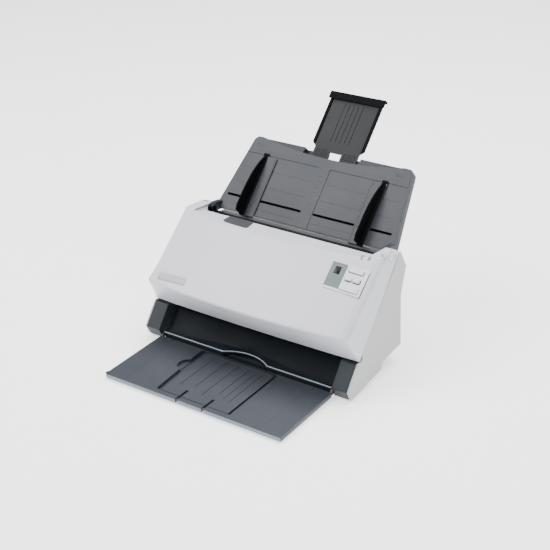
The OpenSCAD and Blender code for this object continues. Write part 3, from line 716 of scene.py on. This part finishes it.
def guide_fin(node, sd):
    rows = []
    for s in [-25, -24.4, -22, -18] + list(range(-14, 64, 3)) + [64, 65.5, 66.4, 67]:
        section = [(-3.0, 1.8)] + guide_section(s) + [(6, 1.8)]
        rows.append([TRAY @ Vector((sd * (GUIDE_X + x) * MM, s * MM, h * MM)) for x, h in section])
    verts, faces = grid(rows)
    n = len(rows[0])
    faces += [tuple(range(n)), tuple(range(len(verts) - n, len(verts)))]
    faces += [
        (i * n + n - 1, i * n, (i + 1) * n, (i + 1) * n + n - 1) for i in range(len(rows) - 1)
    ]
    mesh_piece(node + "_fin", node, verts, faces, sharp=50)


def on_side(sd, boxes):
    """Boxes given for the right side, as they lie on the given side."""
    out = []
    for low, high in boxes:
        near, far = span(sd, low[0], high[0])
        out.append(((near, *low[1:]), (far, *high[1:])))
    return out


def guide_base(node, sd):
    arrow_x = GUIDE_X - 13.5
    marks = []
    for s in (-2, 58):
        for k in range(5):
            x, half = arrow_x + k * 0.8, 2.2 - k * 0.5
            marks.append(((x, s - half, 2.0), (x + 0.8, s + half, 3)))
    marks.append(((GUIDE_X - 15.2, -26, 1.9), (GUIDE_X - 14.8, 62, 3)))
    base = rounded_box(GUIDE_X - 17, GUIDE_X + 6.2, -25, 63, 2.2)
    base = [(sd * x, y) for x, y in (base if sd > 0 else reversed(base))]
    solid(
        node + "_base", node, outline_mesh("base", base, 0.3, BASE_TOP, TRAY), 0.35,
        [box_mesh("marks", on_side(sd, marks), TRAY)], slot="tray_grey", replaces=False,
    )


def guide_rack(node, sd):
    """The foot under the slot, an arm along the tray and the rack that meets the pinion."""
    arm, rack = span(-sd, 1.5, 13), span(-sd, 8.3, 13)
    near, far = GUIDE_X - 10, GUIDE_X - 2
    boxes = [
        ((near, -1.4, -6.6), (far, 1.4, 0.5)),
        ((near, arm[0], -6.6), (far, arm[1], -3.6)),
        ((-20, rack[0], -6.6), (near - 0.1, rack[1], -3.6)),
    ]
    solid(
        node + "_rack", node, box_mesh("rack", on_side(sd, boxes), TRAY), 0.3, replaces=False
    )


def guide(sd, side):
    node = "guide_" + side
    guide_fin(node, sd)
    guide_base(node, sd)
    guide_rack(node, sd)


# ---------------------------------------------------------------- pull-out extension

EXT_X, EXT_H, EXT_TOP = 40.0, -12.6, 179.0
EXT_IN = EXT_X - 3.5
CAP_X = 43


def extension_ribs():
    ribs = []
    low = EXT_H + 1.2
    for row in range(22):
        for col in range(5):
            x, s = -15.5 + 7 * col, 108 + 2.6 * row
            ribs.append(((x, s, low), (x + 1.4, s + 1.5, 0)))
    for row in range(5):
        for start in (-30, 13.2):
            for col in range(5):
                x, s = start + 4 * col, 78 + 3.6 * row
                ribs.append(((x, s, low), (x + 1.2, s + 2.2, 0)))
    return ribs


def extension():
    plate = [
        (-34.5, 68), (34.5, 68), (34.5, 97), (EXT_IN, 101), (EXT_IN, EXT_TOP - 6.5),
        (-EXT_IN, EXT_TOP - 6.5), (-EXT_IN, 101), (-34.5, 97),
    ]
    window = [((-9, 82.5, -20), (9, 92.5, 5))]
    solid(
        "extension_plate_form", "extension_plate",
        outline_mesh("plate", plate, EXT_H, EXT_H + 2, TRAY), 0.4,
        [box_mesh("window", window, TRAY), box_mesh("ribs", extension_ribs(), TRAY)],
        look="plate_dark",
    )
    for sd, side in SIDES:
        rail = [(36, 99), (EXT_X, 103), (EXT_X, EXT_TOP - 6), (36, EXT_TOP - 6)]
        rail = [(sd * x, y) for x, y in (rail if sd > 0 else reversed(rail))]
        solid(
            "extension_rail_" + side, "extension_plate",
            outline_mesh("rail", rail, EXT_H, EXT_H + 3.6, TRAY), 0.4,
            slot="black_plastic", replaces=False,
        )


def extension_cap():
    corner = EXT_TOP - 0.8
    top = [
        (-CAP_X, 168.5), (CAP_X, 168.5), (CAP_X, corner), (CAP_X - 0.8, EXT_TOP),
        (0.8 - CAP_X, EXT_TOP), (-CAP_X, corner),
    ]
    solid(
        "extension_cap_form", "extension_cap",
        outline_mesh("cap", top, EXT_H + 3.7, EXT_H + 5.0, TRAY), 0.4,
    )
    back = [((-CAP_X, EXT_TOP - 3, EXT_H - 1.5), (CAP_X, EXT_TOP, EXT_H + 3.9))]
    solid(
        "extension_cap_back", "extension_cap", box_mesh("cap", back, TRAY), 0.5, replaces=False
    )


# ---------------------------------------------------------------- output tray and flap

OUT_X, OUT_Z, OUT_FRONT = 134.3, 8.0, -116.2
FLAP_X, FLAP_FRONT = 54.5, -108.2
HOOK_X = 20


def output_tray():
    moat = [(-56.5, -109.4), (55.9, -109.4)]
    moat += arc_points(50.9, -10.6, 5, 0, 90) + arc_points(-58.5, -11.1, 5.5, 90, 180)
    finger_notch = circle(-58, -45.6, 13)
    cuts = []
    for x in (-113, -98, 95, 109):
        cuts.append(((x - 0.7, -11 if abs(x) > 100 else -9, OUT_Z - 0.9), (x + 0.7, -4, 9)))
    for x in (-105, 104):
        cuts.append(((x - 0.2, -112, OUT_Z - 0.1), (x + 0.2, -12, 9)))
    for sd, _ in SIDES:
        cuts.append(((sd * HOOK_X - 1.7, -118, 1), (sd * HOOK_X + 1.7, -104, 9)))
    plate = rounded_box(-OUT_X, OUT_X, OUT_FRONT, -4.5, 1.5, 3)
    solid(
        "output_tray_form", "output_tray", outline_mesh("plate", plate, 1.9, OUT_Z, FLAT), 0.5,
        [
            outline_mesh("moat", moat, OUT_Z - 4.4, 10, FLAT),
            outline_mesh("notch", finger_notch, OUT_Z - 3.4, 10, FLAT),
            box_mesh("fine", cuts, FLAT),
        ],
    )


def output_details():
    """The tray's hinge lugs, its light lip, the flap's detent and the corner latch."""
    for sd, side in SIDES:
        lug = [(-6, 4.2), (-0.5, 4.2), (3.4, 7.4)] + arc_points(1, 9.5, 3, -20, 150) + [(-6, 8)]
        matrix = ACROSS @ Matrix.Translation((0, 0, sd * 132.8 * MM))
        solid(
            "output_lug_" + side, "output_tray", outline_mesh("ear", lug, -1.4, 1.4, matrix), 0.3,
            replaces=False,
        )
    lip = [
        ((x0, OUT_FRONT - 0.1, 2.4), (x1, OUT_FRONT + 0.8, 7.0))
        for x0, x1 in ((-134, -21.9), (-18.1, 18.1), (21.9, 134))
    ]
    solid(
        "output_lip", "output_tray", box_mesh("lip", lip, FLAT), 0.3, slot="silver_trim",
        replaces=False, look="lip_blue",
    )
    bump = arc_points(61.4, -32.7, 1.6, 0, 180) + arc_points(61.4, -38.7, 1.6, 180, 360)
    solid(
        "output_detent", "output_tray", outline_mesh("bump", bump, 7.8, 8.5, FLAT), 0.3,
        replaces=False,
    )
    latch = [
        ((-134.2, OUT_FRONT, 7.6), (-129, OUT_FRONT + 1.8, 9.4)),
        ((-134.2, OUT_FRONT, 7.6), (-132.6, -112, 9.4)),
    ]
    solid(
        "output_latch", "output_tray", box_mesh("latch", latch, FLAT), 0.3, slot="charcoal",
        replaces=False,
    )


def output_flap():
    leaf = (
        [(-18.3, FLAP_FRONT), (-18.3, -93), (-21.7, -93), (-21.7, FLAP_FRONT)]
        + [(-49.5, FLAP_FRONT)] + arc_points(-FLAP_X + 6.5, -14.6, 6.5, 180, 90)
        + arc_points(FLAP_X - 7.5, -13.4, 5.5, 90, 0) + [(FLAP_X - 2, FLAP_FRONT)]
        + [(21.7, FLAP_FRONT), (21.7, -93), (18.3, -93), (18.3, FLAP_FRONT)]
    )
    lines = [
        ((x - 0.4, front, OUT_Z - 0.55), (x + 0.4, -15, 9))
        for x, front in ((-37, -87), (-17.3, -81), (1, -93), (18, -80), (29, -85), (39, -88))
    ]
    solid(
        "output_flap_form", "output_flap",
        outline_mesh("leaf", leaf[::-1], OUT_Z - 2.9, OUT_Z, FLAT), 0.45,
        [box_mesh("lines", lines, FLAT)],
    )
    for sd, side in SIDES:
        hook = [(-84, 5.1), (-84, 3.4), (-113, 3.4)]
        hook += arc_points(-114.2, 5.4, 1.9, -60, -300) + [(-112.6, 5.3)]
        matrix = ACROSS @ Matrix.Translation((0, 0, sd * HOOK_X * MM))
        solid(
            "output_hook_" + side, "output_flap", outline_mesh("hook", hook, -1.2, 1.2, matrix),
            0.2, replaces=False,
        )


# ---------------------------------------------------------------- exit ramp and its strip

RAMP_X = 131
SCOOP_R, SCOOP_BACK = 58, 10.5  # the finger scoop's radius and how far back it reaches
SCOOP_Y = SCOOP_BACK - SCOOP_R
RAMP_SIDE = [
    (0, 2.3), (0, 12.5), (12, 17), (24, 31), (31.5, 39.5), (36, 39.5), (36, 30), (30, 24),
    (18, 12), (3.4, 9), (3.4, 2.3),
]


def scoop_cone(low, high, r_low, r_high):
    bm = bmesh.new()
    bmesh.ops.create_cone(
        bm, cap_ends=True, segments=144, radius1=r_low * MM, radius2=r_high * MM,
        depth=(high - low) * MM,
    )
    bm.transform(Matrix.Translation(at(0, SCOOP_Y, (low + high) / 2)))
    mesh = bpy.data.meshes.new("cone")
    bm.to_mesh(mesh)
    bm.free()
    return mesh


def exit_ramp():
    r = SCOOP_R + 1.4
    seat = [((-RAMP_X - 0.2, -2, 9.3), (RAMP_X + 0.2, 0.4, 12.6))]
    solid(
        "exit_ramp_form", "exit_ramp", outline_mesh("ramp", RAMP_SIDE, -RAMP_X, RAMP_X, ACROSS),
        0.5,
        [
            scoop_cone(5, 12.6, r, r), scoop_cone(12.58, 26.6, r, 66.8),
            box_mesh("seat", seat, FLAT),
        ],
    )


def bow(r, y_end):
    """An arc about the scoop's middle that ends where it comes forward to y_end."""
    reach = math.degrees(math.acos((y_end - SCOOP_Y) / r))
    steps = 40
    angles = [math.radians(-reach + 2 * reach * k / steps) for k in range(steps + 1)]
    return [(r * math.sin(a), SCOOP_Y + r * math.cos(a)) for a in angles]


def exit_strip():
    front, back = -0.9, 0.3
    ribbon = [(-RAMP_X, back), (-RAMP_X, front)] + bow(SCOOP_R + 0.1, front)
    ribbon += [(RAMP_X, front), (RAMP_X, back)] + bow(SCOOP_R + 1.2, back)[::-1]
    solid("exit_strip_form", "exit_strip", outline_mesh("ribbon", ribbon, 11.7, 12.6, FLAT), 0.2)
    # The strip's lower part, from 9.5 to 11.65 mm, is drawn in charcoal: painted shade for its front
    # face in shadow, under the strip's light top.
    solid(
        "exit_strip_shaded_front", "exit_strip", outline_mesh("shaded_front", ribbon, 9.5, 11.65, FLAT), 0.1,
        slot="charcoal", replaces=False,
    )


# ---------------------------------------------------------------- keys, tab and marks on the cover

KEY_RISE = 1.9
KEY_LEVELS = (  # how wide the key is at each height, from its foot to its crown
    (1, -2.4), (1, KEY_RISE - 0.75), (0.985, KEY_RISE - 0.4), (0.94, KEY_RISE - 0.12),
    (0.86, KEY_RISE), (0.5, KEY_RISE + 0.12),
)
PANEL_MARKS = (
    ((6.0, 29.8), (7.2, 35.0)), ((7.2, 34.0), (9.5, 35.0)), ((7.2, 29.8), (9.3, 30.8)),
    ((15.3, 30.6), (16.5, 35.6)), ((16.5, 34.4), (18.9, 35.6)), ((17.2, 30.6), (18.4, 33.6)),
)


def key(node, x0, x1, down0, down1):
    """A pillow-shaped key, given on the face: across, and down from the face's top edge."""
    w, d = (x1 - x0) / 2, (down1 - down0) / 2
    centre = Vector(((x0 + x1) / 2 - PANEL_X, PANEL_DOWN - (down0 + down1) / 2, 0))
    ring = rounded_box(-w, w, -d, d, min(1.6, d * 0.7), 5)
    rows = []
    for scale, height in KEY_LEVELS:
        # near the rim the short ends draw in by as much as the long sides do
        across = 1 - (1 - scale) * d / w if scale > 0.6 else scale
        rows.append([
            PANEL @ ((centre + Vector((x * across, y * scale, height))) * MM)
            for x, y in ring + ring[:1]
        ])
    verts, faces = grid(rows)
    n = len(ring) + 1
    faces += [tuple(range(n - 1)), tuple(range(len(verts) - n, len(verts) - 1))]
    mesh_piece(node + "_form", node, verts, faces, sharp=60)


def guide_tab():
    tab = [
        (-90, 38), (-88.6, 26), (-86.6, 17.6), (-84.2, 14.4), (-80.5, 12.2), (-77, 11.5),
        (-51, 11.5), (-47.6, 12), (-46, 14.6), (-46.2, 17.4), (-53, 38),
    ]
    solid("guide_tab_form", "guide_tab", outline_mesh("tab", tab, -0.4, 1.8, BAND), 0.7)


def front_symbols():
    boxes = [((*low, 0.05), (*high, 0.47)) for low, high in PANEL_MARKS]
    solid(
        "front_symbols", "cover_shell", box_mesh("symbols", boxes, PANEL), 0.1,
        slot="display_black", replaces=False, look="mark_blue",
    )


def panel_edge_shade():
    # Dark strips along the bezel's right and bottom edges only: a real groove, with painted shade
    # where the raised bezel shades it.
    groove_shade = [((25.3, -18.9, -0.8), (25.9, 15, 0.25)), ((-25, -18.9, -0.8), (25.3, -18.4, 0.25))]
    solid(
        "panel_edge_shade", "panel_bezel", box_mesh("groove_shade", groove_shade, PANEL), 0.05,
        slot="black_plastic", replaces=False, look="plate_dark",
    )


# ---------------------------------------------------------------- all pieces

front_cover()
tray_front()
tray_back()
for sd, side in SIDES:
    tray_arm(sd, side)
for sd, side in SIDES:
    guide(sd, side)
extension()
extension_cap()
output_tray()
output_details()
output_flap()
exit_ramp()
exit_strip()
release_boss()
key("button_mode", 120.9, 140.5, 23.2, 29.2)
key("button_down", 119.6, 129.4, 35.8, 40.6)
key("button_up", 130.2, 140.0, 35.8, 40.6)
key("button_scan", 117.6, 143.0, 47.0, 54.2)
guide_tab()
throat_plate()
front_symbols()
panel_edge_shade()

# nodes that keep the CAD's form, with their edges rounded by so many millimetres
ROUNDED = {
    "side_panel_left": 1.0, "side_panel_right": 1.0, "rear_cover": 0.6, "arm_left": 1.0,
    "arm_right": 1.0, "panel_bezel": 0.3, "name_plate": 0.2, "release_button": 0.4,
}
for node, width in ROUNDED.items():
    refined(node, width, LEFT_LEAN if node == "side_panel_left" else 0.0)

for node, obj in NODES.items():
    if node in REPLACED:
        continue
    obj.data.materials.clear()
    obj.data.materials.append(MATERIALS[SLOT_OF[node]])

# ---------------------------------------------------------------- floor


def add_floor():
    bpy.ops.mesh.primitive_plane_add(size=14, location=(0, 0, -0.0002))
    floor = bpy.context.object
    floor.name = "floor"
    white = moulded("floor_white", (0.93, 0.935, 0.945), 0.6, 30, 0.01, 0.004)
    bsdf = white.node_tree.nodes["Principled BSDF"]
    bsdf.inputs["Emission Color"].default_value = (1, 1, 1, 1)
    bsdf.inputs["Emission Strength"].default_value = 1.1
    floor.data.materials.append(white)


add_floor()
